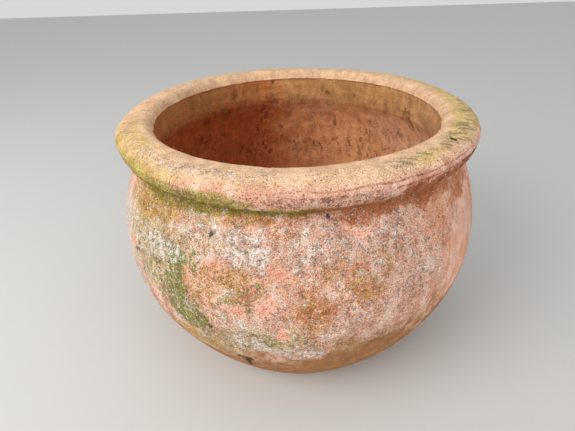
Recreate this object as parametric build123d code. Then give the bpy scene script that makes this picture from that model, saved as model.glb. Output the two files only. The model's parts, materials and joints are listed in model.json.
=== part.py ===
from build123d import *
from math import asin, cos, degrees, radians, sin, sqrt
import os

# A wide, round-bellied garden pot of fired red clay. All sizes are in millimetres.
# The pot stands on z = 0 and the axis of its mouth is +Z. Each of its four clay pieces
# is one section, drawn as (radius, height), turned once round that axis.

# --- overall sizes -------------------------------------------------------------------
pot_height = 230.0          # ground to the top of the rim
rim_radius = 160.0          # widest radius of the rolled rim
belly_swell = 9.0           # how far the belly stands out past the rim
belly_height = 121.0        # height of the widest ring of the belly
foot_inset = 57.0           # how far the foot lies inside the widest ring

# --- belly ---------------------------------------------------------------------------
belly_arc = 128.0           # radius of the round stretch under the widest ring
belly_sweep = 23.5          # degrees of that stretch, before the flatter foot begins
wall = 13.0                 # thickness of the belly wall
neck_blend = 14.0           # height over which the wall thickens to meet the neck

# --- floor ---------------------------------------------------------------------------
floor_thickness = 14.0      # thickness of the floor bat
foot_rounding = 6.0         # rounding where the bat's edge turns under to the ground
drain_radius = 11.0         # radius of the drain hole

# --- neck ----------------------------------------------------------------------------
neck_wall = 16.0            # thickness of the neck in the recess under the rim
neck_foot = 8.5             # how far the neck reaches down below the recess

# --- rim -----------------------------------------------------------------------------
rim_width = 31.0            # widest radius of the rim in to the mouth
rim_depth = 28.0            # top of the rim down to the recess under it
lip_rounding = 8.5          # rounding of the inner lip, down to the top of the neck
crown_width = 17.0          # how far in from the widest radius the top starts to fall
crown_drop = 10.0           # how far the top falls on its way to the widest radius
recess_floor = 3.0          # flat width of the recess between the neck and the roll
undercut = 2.0              # height of the roll's underside above the neck's shoulder
rim_seat = 4.0              # width of the shoulder that carries the roll
crease_drop = 8.0           # how far the tooled crease lies below the top of the rim
crease_radius = 2.0         # radius of the tool that pressed the crease
crease_depth = 0.9          # depth of the crease

# --- radii and heights that follow -----------------------------------------------------
belly_radius = rim_radius + belly_swell
foot_radius = belly_radius - foot_inset
mouth_radius = rim_radius - rim_width
neck_radius = mouth_radius + neck_wall
seat_radius = neck_radius - rim_seat

recess_height = pot_height - rim_depth
neck_bottom = recess_height - neck_foot
neck_top = pot_height - lip_rounding
crown_height = pot_height - crown_drop
roll_bottom = recess_height + undercut

# The shoulder is one arc, upright at the widest ring and ending in the recess.
shoulder_rise = recess_height - belly_height
shoulder_run = belly_radius - neck_radius
shoulder_arc = (shoulder_rise ** 2 + shoulder_run ** 2) / (2 * shoulder_run)
shoulder_centre = belly_radius - shoulder_arc

# The round stretch ends at the knee. The foot arc leaves it with the same direction
# and reaches the ground at the foot radius.
belly_centre = belly_radius - belly_arc
inward = (-cos(radians(belly_sweep)), sin(radians(belly_sweep)))
knee = (belly_centre - belly_arc * inward[0], belly_height - belly_arc * inward[1])
foot_run = (foot_radius - knee[0], -knee[1])
foot_arc = (foot_run[0] ** 2 + foot_run[1] ** 2) / (
    2 * (foot_run[0] * inward[0] + foot_run[1] * inward[1])
)
foot_centre = (knee[0] + foot_arc * inward[0], knee[1] + foot_arc * inward[1])


def shoulder_x(height, inset=0.0):
    """Radius of the shoulder at a height, with the surface moved in by inset."""
    reach = shoulder_arc - inset
    return shoulder_centre + sqrt(reach ** 2 - (height - belly_height) ** 2)


def foot_x(height, inset=0.0):
    """Radius of the foot stretch at a height, with the surface moved in by inset."""
    reach = foot_arc - inset
    return foot_centre[0] + sqrt(reach ** 2 - (height - foot_centre[1]) ** 2)


def shoulder_edge(low, high, inset=0.0):
    """The shoulder between two heights."""
    reach = shoulder_arc - inset
    start = degrees(asin((low - belly_height) / reach))
    end = degrees(asin((high - belly_height) / reach))
    return CenterArc((shoulder_centre, belly_height), reach, start, end - start)


def belly_edge(inset=0.0):
    """The round stretch from the knee up to the widest ring."""
    return CenterArc((belly_centre, belly_height), belly_arc - inset, -belly_sweep, belly_sweep)


def foot_edge(low, inset=0.0):
    """The foot stretch from a height up to the knee."""
    reach = foot_arc - inset
    start = degrees(asin((low - foot_centre[1]) / reach))
    return CenterArc(foot_centre, reach, start, -belly_sweep - start)


def quarter_ellipse(centre, width, height, start):
    """A quarter of an upright ellipse, a quarter turn on from a start angle in degrees."""
    return EllipticalCenterArc(centre, width, height, start_angle=start, arc_size=90)


def section(edges):
    """The closed face of a section, standing in the XZ plane."""
    return make_face(Plane.XZ * (Curve() + edges))


def turned(face):
    """The ring that a section makes when it goes once round the axis."""
    return revolve(face, Axis.Z, 360)


def floor_bat():
    """The flat round slab that the wall is built on, with its drain hole."""
    bat_radius = foot_x(floor_thickness)
    foot = foot_centre[0] + sqrt(foot_arc ** 2 - foot_centre[1] ** 2)
    start = degrees(asin(-foot_centre[1] / foot_arc))
    end = degrees(asin((floor_thickness - foot_centre[1]) / foot_arc))
    edge_of_bat = CenterArc(foot_centre, foot_arc, start, end - start)
    slab = section([
        Line((drain_radius, 0), (foot, 0)),
        edge_of_bat,
        Line((bat_radius, floor_thickness), (drain_radius, floor_thickness)),
        Line((drain_radius, floor_thickness), (drain_radius, 0)),
    ])
    corner = slab.vertices().sort_by_distance((foot, 0, 0))[0]
    return turned(fillet(corner, foot_rounding))


def belly_wall():
    """The round wall, from the floor bat up to the foot of the neck."""
    blend_height = neck_bottom - neck_blend
    blend_radius = shoulder_x(blend_height, wall)
    inner_foot = (foot_x(floor_thickness, wall), floor_thickness)
    return turned(section([
        Line(inner_foot, (foot_x(floor_thickness), floor_thickness)),
        foot_edge(floor_thickness),
        belly_edge(),
        shoulder_edge(belly_height, neck_bottom),
        Line((shoulder_x(neck_bottom), neck_bottom), (mouth_radius, neck_bottom)),
        Line((mouth_radius, neck_bottom), (blend_radius, blend_height)),
        shoulder_edge(belly_height, blend_height, wall),
        belly_edge(wall),
        foot_edge(floor_thickness, wall),
    ]))


def neck_ring():
    """The upright collar inside the mouth, with a shoulder that carries the rolled rim."""
    return turned(section([
        Line((mouth_radius, neck_bottom), (shoulder_x(neck_bottom), neck_bottom)),
        shoulder_edge(neck_bottom, recess_height),
        Line((neck_radius, recess_height), (seat_radius, recess_height)),
        Line((seat_radius, recess_height), (seat_radius, neck_top)),
        Line((seat_radius, neck_top), (mouth_radius, neck_top)),
        Line((mouth_radius, neck_top), (mouth_radius, neck_bottom)),
    ]))


def crease():
    """The round groove tooled into the outer face of the rim."""
    height = pot_height - crease_drop
    rise = (height - crown_height) / crown_drop
    surface = rim_radius - crown_width + crown_width * sqrt(1 - rise ** 2)
    centre = surface + crease_radius - crease_depth
    return Torus(centre, crease_radius).moved(Location((0, 0, height)))


def rim_roll():
    """The thick rolled rim, seated round and over the top of the neck."""
    lip_centre = mouth_radius + lip_rounding
    crown_start = rim_radius - crown_width
    roll_turn = neck_radius + recess_floor
    roll = turned(section([
        CenterArc((lip_centre, neck_top), lip_rounding, 180, -90),
        Line((lip_centre, pot_height), (crown_start, pot_height)),
        quarter_ellipse((crown_start, crown_height), crown_width, crown_drop, 0),
        quarter_ellipse((roll_turn, crown_height), rim_radius - roll_turn, crown_height - roll_bottom, -90),
        Line((roll_turn, roll_bottom), (neck_radius, roll_bottom)),
        Line((neck_radius, roll_bottom), (neck_radius, recess_height)),
        Line((neck_radius, recess_height), (seat_radius, recess_height)),
        Line((seat_radius, recess_height), (seat_radius, neck_top)),
        Line((seat_radius, neck_top), (mouth_radius, neck_top)),
    ]))
    return roll - crease()


pieces = {
    "floor_bat": floor_bat(),
    "belly_wall": belly_wall(),
    "neck_ring": neck_ring(),
    "rim_roll": rim_roll(),
}

os.makedirs("parts", exist_ok=True)
for name, piece in pieces.items():
    export_step(piece, os.path.join("parts", name + ".step"))
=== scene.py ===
import json
from math import asin, atan2, cos, degrees, radians, sin, sqrt

import bpy
import numpy as np
from mathutils import Matrix, Vector


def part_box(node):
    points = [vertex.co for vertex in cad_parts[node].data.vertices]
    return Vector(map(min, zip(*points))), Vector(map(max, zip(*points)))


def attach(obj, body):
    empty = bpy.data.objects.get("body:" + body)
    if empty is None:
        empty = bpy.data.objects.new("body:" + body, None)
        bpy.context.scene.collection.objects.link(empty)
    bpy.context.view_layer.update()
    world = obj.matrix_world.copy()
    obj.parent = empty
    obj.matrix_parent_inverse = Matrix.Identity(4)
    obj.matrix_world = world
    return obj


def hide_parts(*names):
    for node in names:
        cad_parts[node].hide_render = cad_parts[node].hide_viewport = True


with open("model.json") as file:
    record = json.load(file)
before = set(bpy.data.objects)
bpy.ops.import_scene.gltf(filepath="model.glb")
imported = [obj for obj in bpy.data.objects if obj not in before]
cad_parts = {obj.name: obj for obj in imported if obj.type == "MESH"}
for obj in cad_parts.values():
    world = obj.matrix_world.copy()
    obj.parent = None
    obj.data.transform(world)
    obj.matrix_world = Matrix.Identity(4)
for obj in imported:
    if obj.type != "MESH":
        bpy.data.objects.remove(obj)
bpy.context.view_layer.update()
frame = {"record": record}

# A weathered garden pot of red clay. Sizes of the pot are in millimetres, as a potter
# would write them, and only the finished meshes are put into metres.
MM = 0.001

# --- the pot's own sizes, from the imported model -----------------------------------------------


def corner(node, high, axis):
    """One number of a node's box, in millimetres."""
    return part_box(node)[1 if high else 0][axis] / MM


def bore_radius(name):
    """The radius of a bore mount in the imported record, in millimetres."""
    return next(m["dims"]["r_mm"] for m in frame["record"]["mounts"] if m["name"] == name)


pot_height = corner("rim_roll", True, 2)
rim_radius = corner("rim_roll", True, 0)
recess_height = corner("rim_roll", False, 2)
belly_radius = corner("belly_wall", True, 0)
neck_bottom = corner("belly_wall", True, 2)
floor_top = corner("belly_wall", False, 2)
neck_top = corner("neck_ring", True, 2)
mouth_radius = bore_radius("mouth")
drain_radius = bore_radius("drain_hole")
lip_rounding = pot_height - neck_top

# The boxes don't hold these sizes, so they are written again as the CAD model was made.
belly_height = 121.0        # height of the widest ring of the belly
belly_arc = 128.0           # radius of the round stretch under it
belly_sweep = 23.5          # degrees of that stretch
foot_inset = 57.0           # how far the foot lies inside the widest ring
foot_rounding = 6.0         # rounding where the foot turns under
wall = 13.0                 # thickness of the belly wall
neck_blend = 14.0           # height over which the wall thickens under the neck
neck_wall = 16.0            # thickness of the neck in the recess
crown_width = 17.0          # how far in from the widest radius the rim's top starts to fall
crown_drop = 10.0           # how far it falls on the way
recess_floor = 3.0          # flat width of the recess under the roll
undercut = 2.0              # height of the roll's underside above the neck's shoulder
rim_seat = 4.0              # width of the shoulder that carries the roll

# The tooled crease wanders, and on average lies 1 mm higher than the CAD model's.
crease_drop = 7.0           # how far it lies below the top of the rim

foot_radius = belly_radius - foot_inset
neck_radius = mouth_radius + neck_wall
seat_radius = neck_radius - rim_seat
crown_height = pot_height - crown_drop
roll_bottom = recess_height + undercut
roll_turn = neck_radius + recess_floor
crown_start = rim_radius - crown_width
lip_centre = mouth_radius + lip_rounding

shoulder_rise = recess_height - belly_height
shoulder_run = belly_radius - neck_radius
shoulder_arc = (shoulder_rise ** 2 + shoulder_run ** 2) / (2 * shoulder_run)
shoulder_centre = (belly_radius - shoulder_arc, belly_height)
belly_centre = (belly_radius - belly_arc, belly_height)
inward = (-cos(radians(belly_sweep)), sin(radians(belly_sweep)))
knee = (belly_centre[0] - belly_arc * inward[0], belly_height - belly_arc * inward[1])
foot_run = (foot_radius - knee[0], -knee[1])
foot_arc = (foot_run[0] ** 2 + foot_run[1] ** 2) / (
    2 * (foot_run[0] * inward[0] + foot_run[1] * inward[1])
)
foot_centre = (knee[0] + foot_arc * inward[0], knee[1] + foot_arc * inward[1])


# --- the outline of the pot -------------------------------------------------------------------


def angle_at(centre, radius, height):
    """The angle on an arc, in degrees, at which it reaches a height."""
    return degrees(asin((height - centre[1]) / radius))


def bend(centre, across, up, start, end, step):
    """Points along an upright ellipse's arc, without its last one."""
    length = radians(abs(end - start)) * (across + up) / 2
    count = max(2, round(length / step))
    turn = np.radians(np.linspace(start, end, count, endpoint=False))
    return np.stack([centre[0] + across * np.cos(turn), centre[1] + up * np.sin(turn)], 1)


def straight(start, end, step):
    """Points along a straight line, without its last one."""
    length = sqrt((end[0] - start[0]) ** 2 + (end[1] - start[1]) ** 2)
    count = max(2, round(length / step))
    share = np.linspace(0, 1, count, endpoint=False)[:, None]
    return np.array(start) * (1 - share) + np.array(end) * share


def round_wall(inset, low, high, steps):
    """The belly from a height near the foot up to a height on the shoulder, both ends in."""
    low_angle = angle_at(foot_centre, foot_arc - inset, low)
    high_angle = angle_at(shoulder_centre, shoulder_arc - inset, high)
    return np.concatenate([
        bend(foot_centre, foot_arc - inset, foot_arc - inset, low_angle, -belly_sweep, steps[0]),
        bend(belly_centre, belly_arc - inset, belly_arc - inset, -belly_sweep, 0, steps[1]),
        bend(shoulder_centre, shoulder_arc - inset, shoulder_arc - inset, 0, high_angle, steps[2]),
        [(radius_at(shoulder_centre, shoulder_arc - inset, high), high)],
    ])


def radius_at(centre, radius, height):
    """The radius at which an arc of the wall stands at a height."""
    return centre[0] + sqrt(radius ** 2 - (height - centre[1]) ** 2)


def skin_outline():
    """The pot's whole surface as one closed outline of (radius, height) points, with the
    name of the stretch that each point starts. It runs up the outside, over the rim, down
    the inside and back along the base. Each stretch ends with the spacing of its points."""
    blend_height = neck_bottom - neck_blend
    blend_radius = radius_at(shoulder_centre, shoulder_arc - wall, blend_height)
    inner_foot = (radius_at(foot_centre, foot_arc - wall, floor_top), floor_top)
    neck_angle = angle_at(shoulder_centre, shoulder_arc, neck_bottom)
    recess_angle = angle_at(shoulder_centre, shoulder_arc, recess_height)
    roll_centre = (roll_turn, crown_height)
    roll_across = rim_radius - roll_turn
    roll_drop = crown_height - roll_bottom
    crown_centre = (crown_start, crown_height)
    lip_middle = (lip_centre, neck_top)
    turn_under = (radius_at(foot_centre, foot_arc - foot_rounding, foot_rounding), foot_rounding)
    turn_end = degrees(atan2(turn_under[1] - foot_centre[1], turn_under[0] - foot_centre[0]))
    floor_angle = angle_at(foot_centre, foot_arc, floor_top)
    stretches = [
        ("belly", round_wall(0, floor_top, neck_bottom, (1.35, 1.3, 1.3))[:-1]),
        (
            "neck_outside",
            bend(shoulder_centre, shoulder_arc, shoulder_arc, neck_angle, recess_angle, 1.2),
        ),
        ("recess", straight((neck_radius, recess_height), (neck_radius, roll_bottom), 0.9)),
        ("underside", straight((neck_radius, roll_bottom), (roll_turn, roll_bottom), 0.9)),
        ("band", bend(roll_centre, roll_across, roll_drop, -90, 0, 0.9)),
        ("crown", bend(crown_centre, crown_width, crown_drop, 0, 90, 0.9)),
        ("top", straight((crown_start, pot_height), (lip_centre, pot_height), 1.0)),
        ("lip", bend(lip_middle, lip_rounding, lip_rounding, 90, 180, 0.8)),
        ("neck_inside", straight((mouth_radius, neck_top), (mouth_radius, neck_bottom), 1.1)),
        ("blend", straight((mouth_radius, neck_bottom), (blend_radius, blend_height), 1.8)),
        ("bowl", round_wall(wall, floor_top, blend_height, (5.0, 4.0, 2.4))[::-1][:-1]),
        ("floor", straight(inner_foot, (drain_radius, floor_top), 6.0)),
        ("drain", straight((drain_radius, floor_top), (drain_radius, 0), 3.5)),
        ("base", straight((drain_radius, 0), (turn_under[0], 0), 5.0)),
        ("turn", bend(turn_under, foot_rounding, foot_rounding, -90, turn_end, 1.5)),
        ("foot", bend(foot_centre, foot_arc, foot_arc, turn_end, floor_angle, 1.5)),
    ]
    points = np.concatenate([p for _, p in stretches])
    names = np.concatenate([[name] * len(p) for name, p in stretches])
    return points, names


# --- smooth variation -------------------------------------------------------------------------


def lottery(ix, iy, iz, seed):
    """A repeatable number from -1 to 1 for every whole-number place."""
    h = (ix * 374761393 + iy * 668265263 + iz * 1440662683 + seed * 974634777) & 0xFFFFFFFF
    h = ((h ^ (h >> 13)) * 1274126177) & 0xFFFFFFFF
    h = ((h ^ (h >> 15)) * 2246822519) & 0xFFFFFFFF
    return ((h ^ (h >> 16)) & 0xFFFFFF) / float(0x7FFFFF) - 1.0


def unevenness(place, size, seed, octaves=1):
    """Smooth random variation from about -1 to 1, with bumps of a size in millimetres."""
    total = np.zeros(place.shape[:-1])
    weight = 1.0
    for octave in range(octaves):
        cell = place * (2 ** octave / size)
        low = np.floor(cell).astype(np.int64)
        t = cell - low
        t = t * t * t * (t * (t * 6 - 15) + 10)
        level = np.zeros(total.shape)
        for dx in (0, 1):
            for dy in (0, 1):
                for dz in (0, 1):
                    share = (
                        (t[..., 0] if dx else 1 - t[..., 0])
                        * (t[..., 1] if dy else 1 - t[..., 1])
                        * (t[..., 2] if dz else 1 - t[..., 2])
                    )
                    near = lottery(low[..., 0] + dx, low[..., 1] + dy, low[..., 2] + dz, seed + octave)
                    level += share * near
        total += weight * level
        weight *= 0.5
    return total * 1.25


def step_up(value, low, high):
    """0 below low, 1 above high and a smooth rise between them."""
    t = np.clip((value - low) / (high - low), 0, 1)
    return t * t * (3 - 2 * t)


def turn_between(a, b):
    """The turn from bearing b to bearing a, in degrees from -180 to 180."""
    return (a - b + 180) % 360 - 180


# --- where the weather has marked the pot -----------------------------------------------------
# Each mark is a patch: its bearing in degrees from the front (to the right is positive),
# its height (on top of the rim, its radius), half its width, half its rise and its strength.

lime_on_belly = [
    (-12, 172, 24, 14, 1.2), (-40, 161, 34, 9, 1.1), (-56, 156, 26, 30, 0.6),
    (-14, 184, 24, 9, 0.9), (-26, 178, 34, 16, 0.6), (3, 180, 40, 17, 0.65), (22, 170, 40, 26, 0.6),
    (34, 152, 22, 26, 0.5), (-40, 160, 34, 10, 1.0), (-50, 152, 20, 16, 0.7),
    (-46, 127, 14, 10, 0.8), (-36, 126, 16, 30, 0.45), (-17, 118, 22, 12, 0.75),
    (-13, 106, 18, 10, 0.65), (-36, 98, 16, 12, 0.6), (-11, 94, 22, 8, 0.9), (-4, 90, 20, 8, 1.0),
    (3, 87, 14, 8, 0.9), (-1, 80, 12, 6, 0.8), (6, 111, 8, 9, 0.8), (5, 140, 60, 60, 0.32),
    (-60, 140, 34, 60, 0.6), (-70, 84, 26, 22, 0.6), (120, 160, 44, 20, 0.7),
    (-140, 152, 60, 24, 0.8), (162, 120, 30, 22, 0.6), (-112, 95, 44, 20, 0.6),
    (88, 130, 26, 30, 0.35), (178, 176, 50, 12, 0.7), (-100, 165, 50, 26, 0.7),
]
bloom_on_belly = [
    (-74, 140, 66, 60, 0.9), (-60, 96, 34, 34, 1.0), (-66, 176, 44, 20, 0.5),
    (64, 150, 28, 60, 0.35), (-130, 130, 70, 40, 0.6), (130, 140, 60, 40, 0.5),
    (-12, 176, 40, 18, 0.35), (172, 110, 50, 30, 0.4),
]
# pale patches inside, mostly on the right wall: partly paler, limy clay, partly painted light where the
# lamp falls on that wall
faded_and_lit_inside = [
    (88, 208, 76, 30, 0.45), (118, 162, 70, 34, 0.62), (172, 190, 40, 16, 0.4),
    (-40, 170, 80, 30, 0.3),
]
algae_on_belly = [
    (-34, 152, 12, 20, 1.0), (-34.5, 130, 17, 24, 1.0), (-31, 110, 19, 17, 1.0),
    (-38, 118, 11, 15, 0.75), (-44, 146, 22, 20, 0.5), (-22, 134, 16, 30, 0.4),
    (-30, 170, 24, 12, 0.45), (-27, 120, 10, 14, 0.6), (-28, 160, 8, 8, 0.6),
    (-46, 190, 30, 8, 0.4), (-10, 98, 60, 12, 0.4), (-14, 146, 20, 24, 0.4),
    (-22, 90, 30, 14, 0.35), (-48, 172, 30, 16, 0.3), (152, 112, 24, 42, 0.8),
    (-122, 122, 18, 36, 0.7), (140, 176, 20, 20, 0.4),
]
soot_on_belly = [
    (-27.5, 112, 6, 9, 0.75), (-24, 102, 10, 8, 0.85), (-26, 93, 10, 7, 0.85),
    (-22, 113, 4, 6, 0.8), (-53, 140, 7, 4, 0.9), (-51, 147, 3, 5, 0.8), (-16, 62, 8, 6, 1.0),
    (-17, 52, 4, 10, 1.0), (-18, 66, 3, 3, 1.0), (-23, 184, 2.5, 4, 1.0), (8, 198, 8, 3, 0.9),
    (45, 173, 22, 16, 0.42), (20, 172, 40, 24, 0.36), (15, 144, 22, 26, 0.4),
    (22, 95, 12, 12, 0.36), (5, 110, 10, 14, 0.5), (-30, 165, 60, 26, 0.3), (30, 150, 30, 34, 0.38),
    (-10, 97, 40, 12, 0.36), (-36, 130, 30, 36, 0.35), (128, 104, 9, 8, 0.8), (-150, 96, 8, 7, 0.8),
    (100, 140, 12, 16, 0.4), (170, 160, 60, 30, 0.36),
]
rust_on_belly = [
    (36, 199, 96, 8, 1.0), (50, 191, 30, 8, 0.45), (16, 200, 50, 4, 1.0), (58, 191, 26, 13, 0.75),
    (-48, 190, 24, 12, 0.35), (15, 146, 14, 30, 0.45), (4, 130, 20, 30, 0.42),
    (-13, 151, 14, 18, 0.35), (68, 160, 10, 34, 0.6), (76, 150, 11, 50, 0.5),
    (24, 170, 16, 14, 0.45), (42, 160, 8, 40, 0.4), (-160, 192, 90, 8, 0.7), (130, 190, 60, 9, 0.8),
    (0, 198, 60, 4, 0.6), (-48, 180, 16, 14, 0.3),
]
fresh_on_belly = [
    (-22, 160, 6, 6, 1.0), (-23, 141, 5, 14, 0.9), (-12, 190, 5, 3, 0.9), (-5, 163, 8, 6, 0.8),
    (-4, 110, 5, 5, 1.0), (-23, 117, 4, 6, 0.9), (-8, 139, 10, 12, 0.6), (-56, 148, 7, 5, 0.8),
    (14, 190, 16, 3.5, 0.75), (5, 128, 18, 22, 0.4), (-15, 128, 9, 7, 0.8), (110, 120, 12, 9, 0.8),
    (-130, 110, 12, 8, 0.8), (172, 150, 10, 8, 0.8),
]
ochre_on_belly = [
    (-48, 188, 44, 15, 1.1), (-20, 196, 44, 6, 0.8), (-40, 172, 30, 20, 0.4),
    (-16, 150, 16, 14, 0.7), (-24, 150, 18, 16, 0.6), (10, 150, 26, 34, 0.35),
    (3, 122, 24, 20, 0.5), (-30, 84, 40, 16, 0.6), (24, 168, 16, 14, 0.5), (-8, 105, 20, 10, 0.4),
    (4, 128, 18, 26, 0.7), (16, 146, 14, 14, 0.7), (-150, 186, 70, 16, 0.7),
    (150, 140, 60, 30, 0.5), (100, 176, 40, 16, 0.5),
]
lichen_on_belly = [
    (-48, 172, 44, 26, 0.9), (-46, 142, 30, 34, 0.75), (-26, 178, 30, 20, 0.5),
    (-12, 100, 50, 16, 0.6), (-26, 76, 50, 18, 0.7), (-22, 118, 30, 16, 0.35),
    (-66, 60, 50, 26, 0.6), (150, 120, 60, 50, 0.6), (-130, 150, 70, 40, 0.6),
    (12, 92, 30, 12, 0.35),
]
moss_under_rim = [
    (-44, 199.5, 88, 5.5, 1.0), (-41, 196, 26, 6, 0.7), (-8, 201, 44, 3, 0.9),
    (150, 200, 60, 4, 0.7), (-110, 200, 90, 4, 0.9), (36, 201.5, 90, 1.6, 0.6),
]
moss_on_band = [
    (-42, 206, 88, 6, 1.0), (-8, 205, 44, 3.5, 0.9), (-28, 212, 50, 4, 0.4),
    (-150, 206, 90, 5, 0.9), (-100, 207, 60, 6, 0.9),
]
olive_on_band = [
    (-52, 213.5, 76, 14, 1.0), (-22, 212, 36, 10, 0.8), (2, 207, 26, 5, 0.6),
    (-95, 214, 70, 14, 1.0), (-150, 214, 90, 14, 0.9), (160, 213, 80, 12, 0.7),
]
rust_on_band = [
    (62, 212, 70, 14, 1.0), (36, 221, 44, 4, 0.8), (36, 209, 60, 9, 0.95), (12, 206, 50, 5, 1.0),
    (110, 212, 90, 10, 0.9),
]
soot_on_band = [
    (9, 218, 9, 8, 0.75), (14, 222, 16, 3, 0.6), (2, 220, 14, 5, 0.5), (40, 208, 14, 4, 0.6),
    (58, 213, 10, 9, 0.7), (74, 216, 16, 8, 0.7), (52, 221, 14, 3, 0.7), (-28, 208, 16, 3, 0.5),
]
mildew_on_top = [
    (62, 149, 46, 9, 1.0), (78, 151, 40, 8, 1.0), (34, 148, 32, 6, 0.8), (48, 150, 26, 6, 0.8),
    (92, 153, 34, 6, 0.8), (108, 154, 40, 4, 0.6), (-26, 150, 30, 5, 0.6), (-8, 150, 20, 4, 0.4),
    (-68, 150, 30, 8, 0.5),
]
yellow_on_top = [
    (-62, 150, 60, 14, 0.6), (-45, 157, 60, 6, 0.6), (74, 148, 70, 12, 0.8), (38, 150, 30, 6, 0.6),
    (140, 155, 150, 14, 1.0), (-170, 155, 110, 14, 1.0), (85, 142, 40, 8, 0.7),
    (110, 148, 60, 8, 0.8), (-128, 152, 60, 7, 0.6),
]
pink_on_top = [
    (-98, 150, 80, 14, 0.9), (26, 141, 70, 5, 0.5), (150, 139, 160, 5, 0.7),
    (-165, 139, 90, 5, 0.7),
]
lime_on_top = [
    (-30, 150, 50, 6, 0.65), (-46, 150, 20, 5, 0.6), (-10, 150, 40, 4, 0.35),
    (170, 146, 40, 4, 0.4),
]
drips_inside = [
    (-164, 176, 7, 18, 0.9), (-163, 150, 7, 26, 0.8), (-174, 150, 6, 18, 0.75),
    (-170, 212, 9, 9, 0.5), (-170, 196, 14, 10, 0.5), (-160, 128, 30, 20, 0.75),
    (162, 164, 4, 14, 0.75), (170, 158, 4, 14, 0.6), (176, 128, 34, 16, 0.65),
    (150, 130, 44, 18, 0.55), (-143, 190, 6, 9, 0.7), (-132, 188, 10, 8, 0.6),
    (-130, 140, 60, 30, 0.5), (118, 203, 14, 5, 0.7), (116, 190, 10, 14, 0.6),
    (108, 178, 5, 16, 0.6), (136, 150, 50, 30, 0.4), (166, 208, 10, 3, 0.6), (148, 206, 5, 3, 0.5),
    (-150, 208, 22, 8, 0.45), (-90, 150, 10, 40, 0.6), (60, 140, 12, 40, 0.6),
    (0, 120, 16, 40, 0.6), (30, 160, 50, 30, 0.4),
]

# chips knocked out of the clay: bearing, height, radius of the chip and its depth
chips_on_belly = [
    (-16, 61, 6.0, 0.9), (-17.5, 50, 4.0, 0.7), (-24, 103, 3.5, 0.7), (-26, 94, 3.0, 0.6),
    (-53, 140, 3.5, 0.8), (-23, 184, 2.4, 0.9), (8, 197, 2.4, 0.8), (27, 186, 2.0, 0.6),
    (128, 104, 4.0, 0.8), (-150, 96, 4.0, 0.8), (70, 80, 2.6, 0.6), (-118, 60, 3.2, 0.7),
]
# small dark spots, most of them in chips, as marks
deep_chips = [
    (-16, 62, 5, 5, 1.0), (-17, 52, 3, 8, 0.9), (-18.5, 67, 2, 2, 1.0), (-23, 184, 1.6, 2.6, 1.0),
    (-53, 141, 4, 3, 0.8), (-24.5, 103, 2, 2, 0.7), (8, 198, 1.6, 1.4, 0.8),
    (10, 194, 1.2, 1.2, 0.7), (27, 187, 1.4, 1.4, 0.7), (-27, 95, 2, 1.6, 0.7),
    (-22, 98, 1.6, 1.6, 0.6), (-52, 148, 1.4, 2, 0.7),
]

# how strong lime and dark stains are on rough clay outside the listed patches
sparse_lime = 0.42
sparse_soot = 0.37
sparse_soot_on_band = 0.33

least_mark_radius = 30.0    # nearer to the middle than this, a mark's angle stops growing

gouge_bearing = 51.3        # a short cut across the top of the rim
gouge_radii = (144.6, 150.4)
gouge_half_width = 1.8
gouge_depth = 2.3
pushed_side = 2.1           # how far beside the cut its clay was pushed up
pushed_half_width = 0.9
pushed_height = 0.3


def is_in(names, *stretches):
    """Which rows of the skin belong to some stretches."""
    return np.isin(names, stretches)[:, None]


def patches(marks, bearing, across, radius):
    """How strongly a list of marks covers each place, from 0 to 1."""
    cover = np.zeros(bearing.shape)
    for centre, level, width, rise, strength in marks:
        sideways = np.radians(turn_between(bearing, centre)) * radius / width
        upward = (across - level) / rise
        reach = np.sqrt(sideways ** 2 + upward ** 2)
        cover = np.maximum(cover, strength * step_up(1.25 - reach, 0, 0.7))
    return cover


# --- the skin of the pot ----------------------------------------------------------------------

bearings = 900              # how many columns go once round the pot
corner_wipes = 3            # how often the corners of the recess are wiped
blend_wipes = 60            # how often the corners under the neck, inside, are wiped


def smooth_corners(points, names):
    """Rounds the sharp corners that a potter's finger would have wiped smooth."""
    wiped = np.isin(names, ("neck_outside", "recess", "underside", "blend"))
    wiped = wiped | np.roll(wiped, 2) | np.roll(wiped, -2)
    inner = names == "blend"
    for step in (1, 2, 4):
        inner = inner | np.roll(inner, step) | np.roll(inner, -step)
    for wipe in range(blend_wipes):
        middle = (np.roll(points, 1, 0) + np.roll(points, -1, 0)) / 2
        chosen = wiped if wipe < corner_wipes else inner
        points = np.where(chosen[:, None], points * 0.5 + middle * 0.5, points)
    return points


def make_skin():
    """The pot's whole surface as a grid: one row for each outline point, one column for
    each bearing, with the marks and the uneven clay worked out on it."""
    points, names = skin_outline()
    points = smooth_corners(points, names)
    bearing = np.linspace(-180, 180, bearings, endpoint=False)[None, :]
    radius = points[:, 0:1]
    height = points[:, 1:2]
    along = np.roll(points, -1, 0) - np.roll(points, 1, 0)
    along /= np.linalg.norm(along, axis=1)[:, None]
    side, up = np.sin(np.radians(bearing)), -np.cos(np.radians(bearing))
    flat = np.ones_like(bearing)
    place = np.stack([radius * side, radius * up, height * flat], -1)
    facing = np.stack([along[:, 1:2] * side, along[:, 1:2] * up, -along[:, 0:1] * flat], -1)
    everywhere = np.broadcast_arrays(bearing, height, radius)
    marks = weather(place, names, *everywhere)
    lift, sink = uneven_clay(place, names, *everywhere, marks)
    place = place + facing * lift[..., None]
    place[..., 2] += sink
    place[..., 2] = np.maximum(place[..., 2], 0)
    return place, names, marks


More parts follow.
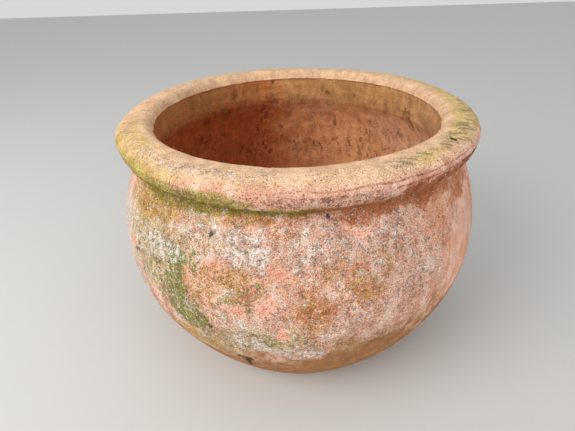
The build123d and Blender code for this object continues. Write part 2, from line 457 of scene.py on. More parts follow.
def weather(place, names, bearing, height, radius):
    """The strength of every kind of mark at each place of the skin."""
    outside = is_in(names, "foot", "belly", "neck_outside", "recess")
    band = is_in(names, "underside", "band")
    top = is_in(names, "crown", "top", "lip")
    face = is_in(names, "underside", "band", "crown")
    inside = is_in(names, "neck_inside", "blend", "bowl", "floor")
    drift = unevenness(place, 16, 11, 2)
    stray = unevenness(place, 5, 23, 2)
    mark_radius = np.maximum(radius, least_mark_radius)
    turned = bearing + np.degrees((drift * 3.5 + stray * 1.6) / mark_radius)
    raised = height + unevenness(place, 15, 31, 2) * 3.5 + unevenness(place, 4.5, 37, 2) * 1.4
    ringed = radius + unevenness(place, 12, 41, 2) * 1.6

    def on(where, marks, across):
        return np.where(where, patches(marks, turned, across, mark_radius), 0)

    # the lower belly turns a darker ochre: partly bare, smooth clay, partly painted shade where the
    # belly turns under, away from the sky
    tan_and_shade_edge = (
        78
        + 22 * step_up(bearing, -8, 30)
        - 14 * step_up(bearing, 60, 120)
        + 4 * step_up(-bearing, 20, 50)
    )
    tan = step_up(tan_and_shade_edge + drift * 12 + stray * 6 - height, -26, 22)
    worn = step_up(turned, 30, 50) * step_up(-turned, -118, -90)
    worn = np.maximum(worn, step_up(-turned, 48, 66) * step_up(turned, -100, -84) * 0.8)
    smooth = np.where(outside, np.maximum(tan, worn), 0)
    rough = np.where(outside | band, 1 - smooth, 0)
    fresh = on(outside, fresh_on_belly, raised)
    flaked = 1 - 0.9 * step_up(fresh, 0.3, 0.55)
    mottle = 0.75 + 0.55 * unevenness(place, 11, 53, 2)
    rust = on(outside, rust_on_belly, raised)
    flaked *= 1 - 0.5 * rust
    lime = on(outside, lime_on_belly, raised) + on(top, lime_on_top, ringed)
    lime = np.maximum(lime, np.where(outside, sparse_lime * rough * mottle, 0)) * flaked
    soot = on(outside, soot_on_belly, raised) + on(band, soot_on_band, raised)
    sparse = np.where(band, sparse_soot_on_band, sparse_soot)
    soot = np.maximum(soot, sparse * rough * (1.5 - mottle)) * flaked
    # the inside is painted darker on its left and far side: partly wet clay, partly painted shade where
    # the lamp reaches least
    damp = damp_and_shaded_side(turned)
    runs = step_up(unevenness(place * [1, 1, 0.2], 4.6, 61, 2), -0.45, 0.35)
    flecks = step_up(unevenness(place * [1, 1, 0.7], 3.4, 65, 2), -0.05, 0.4)
    seeping = flecks + (runs - flecks) * step_up(height + drift * 6, 134, 156)
    wavy = step_up(unevenness(place * [0.22, 1, 0.5], 2.4, 63, 2) + drift * 0.3, -0.15, 0.4)
    grazed = patches(deep_chips, bearing + stray / 3, height + stray * 1.2, mark_radius)
    brow = step_up(height + stray * 1.3, pot_height - 10, pot_height - 2.5)
    brow *= 1 - 0.4 * step_up(radius, 150, 159)
    upper = np.where(is_in(names, "band", "crown"), brow, 0)
    upper = upper + np.where(is_in(names, "top", "lip"), 1.0, 0)
    front = step_up(np.cos(np.radians(bearing)), 0.1, 0.8)
    worn_top = 0.85 - 0.75 * step_up(radius + drift * 3, 136, 150) * front
    smooth = smooth + np.where(top, worn_top, 0)
    cut = np.where(top, cut_across(bearing, radius)[0], 0) + np.where(outside, grazed, 0)
    neck_tint = step_up(height + drift * 4 + stray * 2, 176, 206) * (1 - 0.35 * damp)
    return {
        "ochre": on(outside, ochre_on_belly, raised),
        "lichen": on(outside, lichen_on_belly, raised),
        "olive": on(face, olive_on_band, height + stray),
        "neck_tint": np.where(inside, neck_tint, 0),
        "cut": cut,
        "lime": lime,
        "algae": on(outside, algae_on_belly, raised),
        "soot": soot,
        "rust": rust + on(band, rust_on_band, height + stray),
        "fresh": fresh,
        "bloom": on(outside, bloom_on_belly, raised),
        "faded": on(inside, faded_and_lit_inside, raised),
        "tan": np.where(outside, tan, 0),
        "smooth": smooth,
        "moss": on(outside, moss_under_rim, height + stray) + on(band, moss_on_band, height + stray),
        "mildew": on(top, mildew_on_top, ringed) * wavy,
        "yellow": on(top, yellow_on_top, ringed),
        "pink": on(top, pink_on_top, ringed),
        "drips": on(inside, drips_inside, raised) * seeping,
        "upper": upper,
        "inside": np.where(inside, 1.0, 0.0) + 0 * bearing,
        "damp": np.where(inside, damp, 0.0),
        "crease": np.where(face, crease_colour(place, bearing, height), 0.0),
    }


def damp_and_shaded_side(bearing):
    """Inside, the pot is darker on its left and a little on its far side, and dry on its right: partly
    wet clay, partly painted shade where the lamp reaches least.
    """
    left = step_up(-bearing, -25, 30) * (0.25 + 0.75 * step_up(bearing, -186, -158))
    far_side = step_up(bearing, 146, 188) * 0.4
    return left + far_side


def crease_colour(place, bearing, height):
    """How much darker the tooled line is coloured: most on the right, where it is also cut deepest."""
    most = step_up(bearing, -5, 20) * step_up(-bearing, -66, -40)
    return np.exp(-(above_crease(place, height) / 0.8) ** 2) * (0.3 + 0.6 * most)


def above_crease(place, height):
    """How far a place lies above the tooled line, which wanders up and down a little."""
    wander = unevenness(place * [1, 1, 0], 22, 43, 2) * 0.7
    return height - (pot_height - crease_drop) - wander


# how far the clay is raised or sunk by each thing, in millimetres
lime_crust = 0.22
flake_depth = 0.40
stain_etching = 0.25
moss_height = 0.30
pit_depth = 0.5
nick_depth = 0.55
rim_tilt = 0.35
rim_settling = 0.35


def uneven_clay(place, names, bearing, height, radius, marks):
    """How far the clay stands out along its own face, and how far it is raised or sunk."""
    belly = is_in(names, "belly", "neck_outside", "foot")
    rim = is_in(names, "band", "crown", "top", "lip")
    inside = is_in(names, "neck_inside", "blend", "bowl")
    free = ~is_in(names, "base", "drain", "turn") & (height > 1.5)

    out_of_round = 0.45 * np.sin(np.radians(2 * bearing + 40))
    out_of_round = out_of_round + 0.3 * np.sin(np.radians(3 * bearing + 110))
    lift = unevenness(place, 55, 3, 2) * 0.35 + unevenness(place, 17, 5, 2) * 0.16
    squat = place * np.array([0.14, 0.14, 1.0])
    lift += np.where(belly, unevenness(squat, 3.4, 7, 2) * 0.13, 0)
    lift += np.where(rim, unevenness(squat * [1, 1, 0.7], 4.0, 8, 2) * 0.10, 0)
    lift += np.where(inside, unevenness(squat, 4.2, 9, 2) * 0.24, 0)

    rough = 1 - 0.8 * marks["smooth"]
    lift += np.where(belly, rough * (unevenness(place, 3.2, 13, 3) * 0.13), 0)
    lift += np.where(rim | inside, unevenness(place, 3.6, 17, 3) * 0.08, 0)
    crust = step_up(unevenness(place, 4.0, 19, 3) + marks["lime"] * 1.1, 0.7, 1.1)
    lift += lime_crust * crust * step_up(marks["lime"], 0.4, 0.6)
    lift -= flake_depth * step_up(marks["fresh"] + 0.15 * unevenness(place, 3, 21, 2), 0.42, 0.55)
    lift -= stain_etching * step_up(marks["soot"] + 0.3 * unevenness(place, 3, 25, 2), 0.5, 0.8)
    tufts = 0.6 + unevenness(place, 2.6, 27, 2)
    lift += moss_height * step_up(marks["moss"], 0.3, 0.9) * tufts

    for centre, level, size, depth in chips_on_belly:
        reach = np.hypot(np.radians(turn_between(bearing, centre)) * radius, height - level)
        reach += unevenness(place, 3, 29, 2) * size * 0.35
        lift -= np.where(belly, depth * step_up(size - reach, 0, 1.2), 0)

    pits = step_up(unevenness(place, 6.5, 33, 1), 0.78, 0.98)
    pits *= step_up(unevenness(place, 40, 35), -0.3, 0.5)
    lift -= pit_depth * pits * np.where(belly | rim, 1, 0) * (1 - 0.6 * marks["smooth"])

    lift += crease(place, names, bearing, height)
    lift += burr(place, names, height)
    lift += gouge(names, bearing, radius)
    lift += nicks(place, names, height)
    lift += np.where(is_in(names, "belly", "band", "crown"), out_of_round, 0) * 0.8

    tilted = rim_tilt * np.sin(np.radians(2 * bearing - 30))
    sink = np.where(rim | is_in(names, "recess", "underside"), tilted, 0)
    sink = sink - np.where(is_in(names, "top", "crown", "lip"), rim_settling, 0)
    return np.where(free, lift, 0), np.where(free, sink, 0)


def crease(place, names, bearing, height):
    """The line tooled into the rim's outer face: deep on the right, faint on the left."""
    face = is_in(names, "band", "crown")
    depth = 0.3 + 0.4 * step_up(bearing, -5, 25) * step_up(-bearing, -66, -40)
    depth *= 0.8 + 0.35 * unevenness(place, 9, 45)
    return np.where(face, -depth * np.exp(-(above_crease(place, height) / 0.7) ** 2), 0)


def burr(place, names, height):
    """The ragged line of clay inside the mouth, where the lip meets the neck."""
    near = is_in(names, "lip", "neck_inside")
    ragged = 0.45 + unevenness(place * [1, 1, 0], 7, 47, 3) * 0.55
    level = height - neck_top + 0.4 * unevenness(place * [1, 1, 0], 14, 49)
    edge = np.exp(-((level - 0.3) / 1.1) ** 2)
    ledge = 0.7 * step_up(-level, 0.2, 1.2) * step_up(level, -9, -1.5)
    return np.where(near, np.clip(ragged, 0.05, 1.3) * edge - ledge * 0.5, 0)


def cut_across(bearing, radius):
    """Where the short cut across the rim lies, and where its clay was pushed up beside it."""
    middle = (gouge_radii[0] + gouge_radii[1]) / 2
    half = (gouge_radii[1] - gouge_radii[0]) / 2
    side = np.radians(turn_between(bearing, gouge_bearing)) * radius
    ends = step_up(half - np.abs(radius - middle), -0.3, 0.9)
    cut = ends * np.exp(-(side / gouge_half_width) ** 2)
    pushed = ends * np.exp(-((side - pushed_side) / pushed_half_width) ** 2)
    return cut, pushed


def gouge(names, bearing, radius):
    """The short cut across the top of the rim, with a little clay pushed up beside it."""
    cut, pushed = cut_across(bearing, radius)
    return np.where(is_in(names, "crown", "top"), pushed_height * pushed - gouge_depth * cut, 0)


def nicks(place, names, height):
    """Small chips along the outer edge of the rim."""
    edge = is_in(names, "band", "crown", "top")
    knocked = step_up(unevenness(place, 8, 51), 0.72, 0.95)
    reach = np.exp(-((height - (pot_height - 4)) / 3.5) ** 2)
    return np.where(edge, -nick_depth * knocked * reach, 0)


# --- the four pieces of clay ------------------------------------------------------------------

join_step = 4.0             # spacing of the points inside a join, where nothing shows


def ring(radius, height):
    """One plain row of points round the pot."""
    bearing = np.radians(np.linspace(-180, 180, bearings, endpoint=False))
    level = np.full(bearings, height)
    return np.stack([radius * np.sin(bearing), -radius * np.cos(bearing), level], -1)


def rows_of(names, stretches):
    """The rows of stretches that follow each other, and the row that comes after them."""
    found = np.flatnonzero(np.isin(names, stretches))
    return np.append(found, (found[-1] + 1) % len(names))


def join_rows(start, corners, end):
    """Rows of points across a join, straight from one row by way of corners to another."""
    stops = [start] + [ring(radius, height) for radius, height in corners] + [end]
    rows = []
    for a, b in zip(stops, stops[1:]):
        count = max(1, round(np.linalg.norm(a - b, axis=-1).mean() / join_step))
        rows += [a + (b - a) * k / count for k in range(count)]
    return rows[1:]


def skin_normals(place):
    """Which way the skin faces at each of its points."""
    round_pot = np.roll(place, -1, 1) - np.roll(place, 1, 1)
    up_wall = np.roll(place, -1, 0) - np.roll(place, 1, 0)
    facing = np.cross(round_pot, up_wall)
    return facing / np.maximum(np.linalg.norm(facing, axis=-1, keepdims=True), 1e-9)


def piece_of_clay(name, skin, runs, finish):
    """A closed piece made of runs of the skin, each with the corners of the join after it."""
    place, names, marks, facing = skin
    row_numbers, rows, normals, on_skin = [], [], [], []
    for number, (stretches, corners) in enumerate(runs):
        run = rows_of(names, stretches)
        following = rows_of(names, runs[(number + 1) % len(runs)][0])[0]
        across = join_rows(place[run[-1]], corners, place[following])
        row_numbers += list(run) + [-1] * len(across)
        rows += [place[k] for k in run] + across
        normals += [facing[k] for k in run] + [np.zeros((bearings, 3))] * len(across)
        on_skin += [True] * (len(run) - 1) + [False] * (len(across) + 1)
    points = np.array(rows)
    count = len(rows)
    row, column = np.meshgrid(np.arange(count), np.arange(bearings), indexing="ij")
    next_row, next_column = (row + 1) % count, (column + 1) % bearings
    quads = np.stack([
        row * bearings + column,
        row * bearings + next_column,
        next_row * bearings + next_column,
        next_row * bearings + column,
    ], -1).reshape(-1, 4)

    mesh = bpy.data.meshes.new(name)
    mesh.vertices.add(count * bearings)
    mesh.vertices.foreach_set("co", (points * MM).ravel())
    mesh.loops.add(quads.size)
    mesh.loops.foreach_set("vertex_index", quads.ravel())
    mesh.polygons.add(len(quads))
    mesh.polygons.foreach_set("loop_start", np.arange(0, quads.size, 4))
    shows = np.repeat(on_skin, bearings)
    mesh.polygons.foreach_set("use_smooth", shows)
    mesh.update(calc_edges=True)
    for mark, values in marks.items():
        level = np.array([values[k] if k >= 0 else np.zeros(bearings) for k in row_numbers])
        mesh.attributes.new(mark, "FLOAT", "POINT").data.foreach_set("value", level.ravel())
    lay_flat(mesh, points, quads)
    corner_normals = np.array(normals).reshape(-1, 3)[quads.ravel()]
    corner_normals[~np.repeat(shows, 4)] = 0
    mesh.normals_split_custom_set(corner_normals)
    mesh.materials.append(finish)
    piece = bpy.data.objects.new(name, mesh)
    bpy.context.scene.collection.objects.link(piece)
    return piece


def lay_flat(mesh, points, quads):
    """Lays the piece out flat in two strips, left half and right half, one above the other."""
    steps = np.linalg.norm(np.roll(points, -1, 0) - points, axis=-1).mean(1)
    along = np.concatenate([[0], np.cumsum(steps)]) / steps.sum()
    row = quads[:, 0] // bearings
    column = quads[:, 0] % bearings
    half = bearings // 2
    strip = column // half
    margin = 0.004
    left = (column % half) / half
    right = left + 1 / half
    low = along[row]
    high = along[row + 1]

    def across(share):
        return margin + share * (1 - 2 * margin)

    def upward(share):
        return 0.5 * strip + margin + share * (0.5 - 2 * margin)

    corners = [(left, low), (right, low), (right, high), (left, high)]
    flat = np.stack([np.stack([across(u), upward(v)], -1) for u, v in corners], 1)
    mesh.uv_layers.new(name="OFBake").data.foreach_set("uv", flat.ravel())


# --- shared effects in the clay ---------------------------------------------------------------


def paint(red, green, blue):
    """A colour as it is mixed for a screen, from 0 to 255, turned into light."""
    parts = [c / 255 for c in (red, green, blue)]
    return tuple(c / 12.92 if c <= 0.04045 else ((c + 0.055) / 1.055) ** 2.4 for c in parts) + (1,)


def feed(tree, socket, value):
    """Joins a socket to another node's output, or sets it."""
    if isinstance(value, bpy.types.NodeSocket):
        tree.links.new(value, socket)
    else:
        socket.default_value = value


def add(tree, kind, settings=None, **inputs):
    """Adds a node to a tree. An input's name is written with _ for a space."""
    node = tree.nodes.new("ShaderNode" + kind)
    for name, value in (settings or {}).items():
        setattr(node, name, value)
    for name, value in inputs.items():
        feed(tree, node.inputs[name.replace("_", " ")], value)
    return node


def reckon(tree, operation, *values):
    """A sum with one, two or three numbers, done over the surface."""
    node = tree.nodes.new("ShaderNodeMath")
    node.operation = operation
    for socket, value in zip(node.inputs, values):
        feed(tree, socket, value)
    return node.outputs[0]


def between(tree, value, low, high, start=0.0, end=1.0):
    """Rises smoothly from start to end as the value goes from low to high."""
    node = tree.nodes.new("ShaderNodeMapRange")
    node.interpolation_type = "SMOOTHSTEP"
    for socket, given in zip(node.inputs, (value, low, high, start, end)):
        feed(tree, socket, given)
    return node.outputs[0]


def layer(tree, under, over, mask, blend="MIX"):
    """One colour laid over another where the mask says."""
    node = tree.nodes.new("ShaderNodeMix")
    node.data_type = "RGBA"
    node.blend_type = blend
    feed(tree, node.inputs[0], mask)
    feed(tree, node.inputs[6], under)
    feed(tree, node.inputs[7], over)
    return node.outputs[2]


def noise(tree, place, scale, detail=2.0, roughness=0.5):
    """Cloudy variation from 0 to 1, scale times in a metre."""
    node = add(tree, "TexNoise", Vector=place, Scale=scale, Detail=detail, Roughness=roughness)
    return node.outputs[0]


def stretched(tree, place, factors):
    """Places made longer or shorter along each direction."""
    node = tree.nodes.new("ShaderNodeVectorMath")
    node.operation = "MULTIPLY"
    feed(tree, node.inputs[0], place)
    node.inputs[1].default_value = factors
    return node.outputs[0]


def effect(name, inputs, outputs):
    """A new shared effect: its tree, its inputs by name and its output node."""
    tree = bpy.data.node_groups.new(name, "ShaderNodeTree")
    for label, kind in inputs.items():
        tree.interface.new_socket(label, in_out="INPUT", socket_type="NodeSocket" + kind)
    for label, kind in outputs.items():
        tree.interface.new_socket(label, in_out="OUTPUT", socket_type="NodeSocket" + kind)
    return tree, tree.nodes.new("NodeGroupInput").outputs, tree.nodes.new("NodeGroupOutput").inputs


def use(tree, group, **inputs):
    """Puts a shared effect in a material and returns its output."""
    node = tree.nodes.new("ShaderNodeGroup")
    node.node_tree = group
    for name, value in inputs.items():
        feed(tree, node.inputs[name.replace("_", " ")], value)
    return node.outputs[0]


def fired_clay_effect():
    """The clay's own colour: cloudy patches where the kiln and the weather changed it, and
    as much grit as Grit says."""
    kinds = {"Place": "Vector", "Body": "Color", "Warm": "Color", "Pale": "Color", "Grit": "Float"}
    tree, given, result = effect("fired_clay", kinds, {"Color": "Color"})
    place = given["Place"]
    wide = noise(tree, place, 22, 3, 0.55)
    middle = noise(tree, stretched(tree, place, (1, 1, 0.7)), 85, 4, 0.6)
    sand = noise(tree, place, 1050, 1.0, 0.6)
    colour = layer(tree, given["Body"], given["Warm"], between(tree, wide, 0.42, 0.6))
    colour = layer(tree, colour, given["Pale"], between(tree, middle, 0.45, 0.68))
    deep = reckon(tree, "MULTIPLY_ADD", given["Grit"], -0.32, 0.95)
    bright = reckon(tree, "MULTIPLY_ADD", given["Grit"], 0.25, 1.05)
    shade = between(tree, sand, 0.3, 0.7, deep, bright)
    middle_shade = between(tree, middle, 0.3, 0.7, 0.86, 1.12)
    both = reckon(tree, "MULTIPLY", shade, middle_shade)
    tint = add(tree, "CombineColor", Red=both, Green=both, Blue=both).outputs[0]
    feed(tree, result["Color"], layer(tree, colour, tint, 1.0, "MULTIPLY"))
    return tree


def ragged_patch_effect():
    """Breaks a smooth mark up into clumps and grains. Cover is the share hidden at full mark."""
    kinds = {
        "Place": "Vector", "Amount": "Float", "Cover": "Float",
        "Grain": "Float", "Raggedness": "Float", "Softness": "Float",
    }
    tree, given, result = effect("ragged_patch", kinds, {"Mask": "Float"})
    grains = noise(tree, given["Place"], given["Grain"], 2.5, 0.6)
    clump_size = reckon(tree, "MULTIPLY", given["Grain"], 0.23)
    clumps = noise(tree, given["Place"], clump_size, 2, 0.5)
    both = reckon(tree, "ADD", reckon(tree, "MULTIPLY", clumps, 0.9), grains)
    centred = reckon(tree, "SUBTRACT", both, 0.95)
    weight = reckon(tree, "MULTIPLY", given["Amount"], given["Cover"])
    broken = reckon(tree, "MULTIPLY_ADD", centred, given["Raggedness"], weight)
    low = reckon(tree, "SUBTRACT", 0.5, given["Softness"])
    high = reckon(tree, "ADD", 0.5, given["Softness"])
    covered = between(tree, broken, low, high)
    present = between(tree, given["Amount"], 0.0, 0.25)
    feed(tree, result["Mask"], reckon(tree, "MULTIPLY", covered, present))
    return tree


def specks_effect():
    """Small separate grains: Share of the places have one, and Size is their width."""
    kinds = {"Place": "Vector", "Spacing": "Float", "Share": "Float", "Size": "Float"}
    tree, given, result = effect("specks", kinds, {"Mask": "Float"})
    jitter = add(tree, "TexNoise", Vector=given["Place"], Scale=900.0, Detail=1.0)
    pushed = add(tree, "VectorMath", {"operation": "MULTIPLY_ADD"})
    feed(tree, pushed.inputs[0], jitter.outputs["Color"])
    pushed.inputs[1].default_value = (0.0007, 0.0007, 0.0007)
    feed(tree, pushed.inputs[2], given["Place"])
    cells = add(tree, "TexVoronoi", Vector=pushed.outputs[0], Scale=given["Spacing"])
    chance = add(tree, "SeparateColor", Color=cells.outputs["Color"]).outputs[0]
    chosen = reckon(tree, "LESS_THAN", chance, given["Share"])
    half = reckon(tree, "MULTIPLY", given["Size"], 0.5)
    grain = reckon(tree, "SUBTRACT", 1.0, between(tree, cells.outputs["Distance"], half, given["Size"]))
    feed(tree, result["Mask"], reckon(tree, "MULTIPLY", chosen, grain))
    return tree


def streaks_effect():
    """Upright runs left by rain and seepage."""
    tree, given, result = effect("streaks", {"Place": "Vector", "Scale": "Float"}, {"Mask": "Float"})
    drawn_out = stretched(tree, given["Place"], (1, 1, 0.16))
    cloud = noise(tree, drawn_out, given["Scale"], 4, 0.6)
    feed(tree, result["Mask"], between(tree, cloud, 0.42, 0.68))
    return tree


def sandy_relief_effect():
    """The height of the sand, pores and scraping in the clay, from 0 to 1."""
    kinds = {"Place": "Vector", "Coarse": "Float", "Fine": "Float", "Pores": "Float"}
    tree, given, result = effect("sandy_relief", kinds, {"Height": "Float"})
    place = given["Place"]
    coarse = noise(tree, place, 330, 4, 0.62)
    fine = noise(tree, place, 1300, 2, 0.6)
    pores = add(tree, "TexVoronoi", Vector=place, Scale=420.0).outputs["Distance"]
    hollow = reckon(tree, "SUBTRACT", 1.0, between(tree, pores, 0.12, 0.34))
    height = reckon(tree, "MULTIPLY", coarse, given["Coarse"])
    height = reckon(tree, "MULTIPLY_ADD", fine, given["Fine"], height)
    sunk = reckon(tree, "MULTIPLY", hollow, given["Pores"])
    feed(tree, result["Height"], reckon(tree, "SUBTRACT", height, sunk))
    return tree


fired_clay = fired_clay_effect()
ragged_patch = ragged_patch_effect()
specks = specks_effect()
streaks = streaks_effect()
sandy_relief = sandy_relief_effect()


# --- the clays --------------------------------------------------------------------------------
# A stain is: the mark it follows, its colour, how many grains in a metre, the share of the
# clay that it covers, how ragged and how soft its edge is, how much of the clay it hides, and
# how far it stands up.

outside_stains = [
    ("bloom", paint(190, 182, 174), 110, 0.75, 0.8, 0.4, 0.85, 0),
    # darker ochre low on the belly: bare clay and painted shade where it turns under
    ("tan", paint(161, 111, 61), 160, 1.0, 1.1, 0.45, 0.9, 0),
    ("lichen", paint(190, 178, 132), 300, 0.8, 1.3, 0.3, 0.75, 0.1),
    ("ochre", paint(192, 146, 72), 220, 0.78, 1.3, 0.4, 0.8, 0),
    ("rust", paint(174, 94, 42), 300, 0.88, 1.4, 0.42, 0.84, 0),
    ("moss", paint(136, 120, 34), 300, 1.0, 1.0, 0.45, 0.9, 0.2),
    ("fresh", paint(230, 164, 140), 160, 0.85, 1.0, 0.14, 0.8, -0.3),
    ("algae", paint(116, 126, 38), 640, 0.78, 1.8, 0.26, 0.9, 0.3),
    ("lime", paint(238, 230, 220), 1150, 0.57, 2.2, 0.24, 0.78, 0.4),
    ("soot", paint(116, 90, 62), 1100, 0.55, 2.2, 0.26, 0.66, -0.3),
    ("cut", paint(60, 50, 44), 700, 1.0, 1.4, 0.35, 0.85, 0),
]
inside_stains = [
    ("inside", paint(228, 168, 120), 60, 1.0, 0.2, 0.4, 1.0, 0),
    # painted light and paler, limy clay on the inside wall that faces the lamp
    ("faded", paint(228, 184, 152), 110, 1.0, 0.9, 0.5, 0.8, 0),
    # painted shade and wet clay on the inside walls that the lamp reaches least
    ("damp", paint(186, 104, 56), 70, 1.0, 1.1, 0.6, 1.0, 0),
    ("neck_tint", paint(166, 124, 72), 90, 0.9, 1.3, 0.55, 0.8, 0),
]
seeped = ("drips", paint(96, 54, 32), 520, 0.9, 1.6, 0.42, 0.75, 0)
wall_stains = inside_stains + outside_stains + [seeped]
floor_stains = [
    ("inside", paint(200, 130, 84), 60, 1.0, 0.2, 0.4, 1.0, 0),
    # painted shade and wet clay on the floor, on the side that the lamp reaches least
    ("damp", paint(160, 92, 54), 90, 1.0, 1.4, 0.6, 1.0, 0),
    # darker ochre on the foot: bare clay and painted shade where the belly turns under
    ("tan", paint(176, 130, 86), 160, 1.0, 0.9, 0.45, 0.9, 0),
]
rim_stains = [
    ("upper", paint(226, 187, 150), 500, 1.0, 1.2, 0.4, 1.0, 0),
    ("olive", paint(162, 149, 68), 200, 0.95, 1.1, 0.5, 0.85, 0),
    ("yellow", paint(206, 180, 102), 120, 0.95, 1.1, 0.5, 0.75, 0),
    ("pink", paint(230, 184, 148), 120, 0.8, 1.0, 0.4, 0.6, 0),
    ("rust", paint(162, 86, 38), 300, 0.95, 1.3, 0.38, 0.9, 0),
    ("moss", paint(128, 112, 34), 300, 1.0, 1.2, 0.45, 0.88, 0.2),
    ("mildew", paint(110, 106, 88), 900, 0.95, 1.7, 0.36, 0.6, -0.1),
    ("lime", paint(236, 222, 216), 1150, 0.54, 2.2, 0.24, 0.75, 0.3),
    ("soot", paint(106, 76, 62), 1000, 0.56, 2.2, 0.24, 0.78, -0.3),
    ("crease", paint(160, 88, 54), 600, 0.85, 1.2, 0.4, 0.7, 0),
    ("cut", paint(48, 30, 24), 700, 1.4, 0.3, 0.3, 0.98, 0),
]


def clay(name, body, warm, pale, stains, relief, lime_grains, dark_grains):
    """A fired clay with its stains, loose grains and rough surface."""
    material = bpy.data.materials.new(name)
    material.use_nodes = True
    tree = material.node_tree
    tree.nodes.clear()
    place = add(tree, "TexCoord").outputs["Object"]
    smooth = add(tree, "Attribute", {"attribute_name": "smooth"}).outputs["Fac"]
    inner = add(tree, "Attribute", {"attribute_name": "inside"}).outputs["Fac"]
    bare = reckon(tree, "MULTIPLY_ADD", smooth, -0.8, 1.0)
    bare = reckon(tree, "MULTIPLY", bare, reckon(tree, "MULTIPLY_ADD", inner, -0.55, 1.0))
    colour = use(tree, fired_clay, Place=place, Body=body, Warm=warm, Pale=pale, Grit=bare)
    height = use(tree, sandy_relief, Place=place, Coarse=relief[0], Fine=relief[1], Pores=relief[2])
    for mark, stain, grain, cover, raggedness, softness, hiding, rise in stains:
        amount = add(tree, "Attribute", {"attribute_name": mark}).outputs["Fac"]
        mask = use(
            tree, ragged_patch, Place=place, Amount=amount, Cover=cover,
            Grain=float(grain), Raggedness=raggedness, Softness=softness,
        )
        shaded = use(tree, fired_clay, Place=place, Body=stain, Warm=stain, Pale=stain, Grit=bare)
        colour = layer(tree, colour, shaded, reckon(tree, "MULTIPLY", mask, hiding))
        if rise:
            height = reckon(tree, "MULTIPLY_ADD", mask, rise, height)
    runs = use(tree, streaks, Place=place, Scale=150.0)
    colour = layer(tree, colour, paint(214, 200, 186), reckon(tree, "MULTIPLY", runs, 0.5), "MULTIPLY")
    outer = reckon(tree, "MULTIPLY", bare, reckon(tree, "SUBTRACT", 1.0, inner))
    pale_share = reckon(tree, "MULTIPLY", outer, lime_grains)
    white = use(tree, specks, Place=place, Spacing=430.0, Share=pale_share, Size=0.42)
    dark_share = reckon(tree, "MULTIPLY", bare, dark_grains)
    elsewhere = stretched(tree, place, (1.1, 1.1, 1.0))
    dark = use(tree, specks, Place=elsewhere, Spacing=480.0, Share=dark_share, Size=0.42)
    colour = layer(tree, colour, paint(226, 212, 198), reckon(tree, "MULTIPLY", white, 0.65))
    colour = layer(tree, colour, paint(112, 76, 58), reckon(tree, "MULTIPLY", dark, 0.7))
    height = reckon(tree, "MULTIPLY_ADD", white, 0.25, height)
    height = reckon(tree, "MULTIPLY", height, reckon(tree, "MULTIPLY_ADD", bare, 0.65, 0.35))
    bump = add(tree, "Bump", Strength=1.0, Distance=0.0009, Height=height)
    dryness = noise(tree, place, 300, 2, 0.5)
    shader = add(
        tree, "BsdfPrincipled", Base_Color=colour, Normal=bump.outputs[0],
        Roughness=between(tree, dryness, 0.2, 0.8, 0.82, 0.98), Specular_IOR_Level=0.22,
    )
    result = tree.nodes.new("ShaderNodeOutputMaterial")
    tree.links.new(shader.outputs[0], result.inputs["Surface"])
    return material


belly_clay = clay(
    "weathered_belly", paint(228, 176, 152), paint(228, 166, 134), paint(228, 192, 171),
    wall_stains, (0.8, 0.35, 0.5), 0.2, 0.22,
)
neck_clay = clay(
    "weathered_neck", paint(228, 176, 152), paint(228, 166, 134), paint(228, 192, 171),
    wall_stains, (0.8, 0.35, 0.4), 0.1, 0.12,
)
rim_clay = clay(
    "weathered_rim", paint(222, 174, 152), paint(220, 162, 135), paint(226, 188, 168),
    rim_stains, (0.7, 0.35, 0.4), 0.05, 0.22,
)
floor_clay = clay(
    "weathered_floor", paint(190, 140, 100), paint(180, 122, 82), paint(200, 156, 120),
    floor_stains, (0.8, 0.35, 0.5), 0.04, 0.1,
)


# --- put together -----------------------------------------------------------------------------

place, names, marks = make_skin()
skin = (place, names, marks, skin_normals(place))
seat = [(seat_radius, recess_height), (seat_radius, neck_top)]
pieces = {
    "belly_wall": ([(["belly"], []), (["blend", "bowl"], [])], belly_clay),
    "neck_ring": ([(["neck_outside"], seat), (["neck_inside"], [])], neck_clay),
    "rim_roll": ([(["recess", "underside", "band", "crown", "top", "lip"], seat[::-1])], rim_clay),
    "floor_bat": ([(["floor", "drain", "base", "turn", "foot"], [])], floor_clay),
}
for node, (runs, finish) in pieces.items():
    made = piece_of_clay(node + "_weathered", skin, runs, finish)
    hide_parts(node)
    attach(made, "root")


# --- floor, light and camera ------------------------------------------------------------------

floor_half = 3.0            # metres from the middle of the floor to its edge


def pale_floor():
    """A plain, pale, dry floor under the pot."""
    mesh = bpy.data.meshes.new("pale_floor")
    side = floor_half
    edge_points = [(-side, -side, 0), (side, -side, 0), (side, side, 0), (-side, side, 0)]
    mesh.from_pydata(edge_points, [], [(0, 1, 2, 3)])
    floor = bpy.data.objects.new("pale_floor", mesh)
    bpy.context.scene.collection.objects.link(floor)
    plaster = bpy.data.materials.new("pale_floor")
    plaster.use_nodes = True
    shader = plaster.node_tree.nodes["Principled BSDF"]
    shader.inputs["Base Color"].default_value = (0.6, 0.595, 0.58, 1)
    shader.inputs["Roughness"].default_value = 0.9
    mesh.materials.append(plaster)


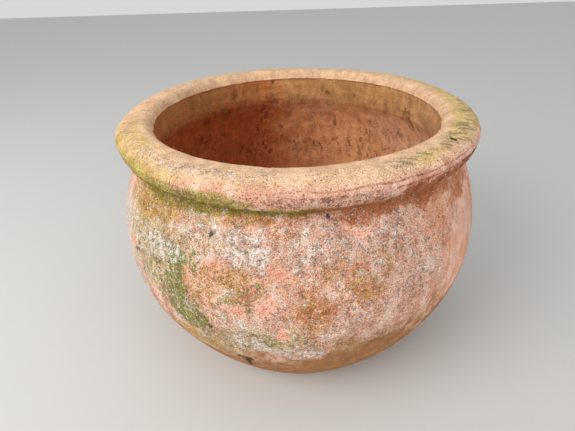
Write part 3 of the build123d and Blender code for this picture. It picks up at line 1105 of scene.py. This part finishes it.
def soft_light(name, place, target, size, power, colour):
    """A round lamp with a soft edge, aimed at a target."""
    lamp = bpy.data.lights.new(name, "AREA")
    lamp.shape = "DISK"
    lamp.size = size
    lamp.energy = power
    lamp.color = colour
    holder = bpy.data.objects.new(name, lamp)
    bpy.context.scene.collection.objects.link(holder)
    holder.location = place
    holder.rotation_euler = (Vector(target) - Vector(place)).to_track_quat("-Z", "Y").to_euler()


def sky(colour, strength):
    """Even light from all round, as under cloud."""
    world = bpy.data.worlds.new("soft_sky")
    world.use_nodes = True
    background = world.node_tree.nodes["Background"]
    background.inputs["Color"].default_value = (*colour, 1)
    background.inputs["Strength"].default_value = strength
    bpy.context.scene.world = world


def viewer(place, yaw, pitch, roll, lens):
    """The camera: turned by yaw to the right, down by pitch and tilted by roll, in degrees."""
    yaw, pitch, roll = radians(yaw), radians(pitch), radians(roll)
    forward = Vector((sin(yaw) * cos(pitch), cos(yaw) * cos(pitch), -sin(pitch)))
    level = Vector((cos(yaw), -sin(yaw), 0))
    upright = level.cross(forward)
    right = level * cos(roll) - upright * sin(roll)
    up = level * sin(roll) + upright * cos(roll)
    camera = bpy.data.cameras.new("viewer")
    camera.sensor_width = 36
    camera.lens = lens
    camera.clip_start = 0.01
    holder = bpy.data.objects.new("viewer", camera)
    turned = Matrix((right, up, -forward)).transposed().to_4x4()
    holder.matrix_world = Matrix.Translation(place) @ turned
    bpy.context.scene.collection.objects.link(holder)
    bpy.context.scene.camera = holder


sky_colour = (0.96, 0.98, 1.0)
lamp_colour = (1.0, 0.98, 0.95)
camera_place = (0, -0.39224, 0.34865)

pale_floor()
sky(sky_colour, strength=0.7)
soft_light("window", (-0.95, -0.75, 0.95), (0, 0, 0.15), size=1.1, power=16, colour=lamp_colour)
soft_light("fill", (0.9, -1.1, 0.6), (0, 0, 0.1), size=1.2, power=4, colour=lamp_colour)
viewer(camera_place, yaw=-1.583, pitch=31.296, roll=1.900, lens=27.05)

view = bpy.context.scene.view_settings
view.view_transform = "Standard"
view.look = "None"
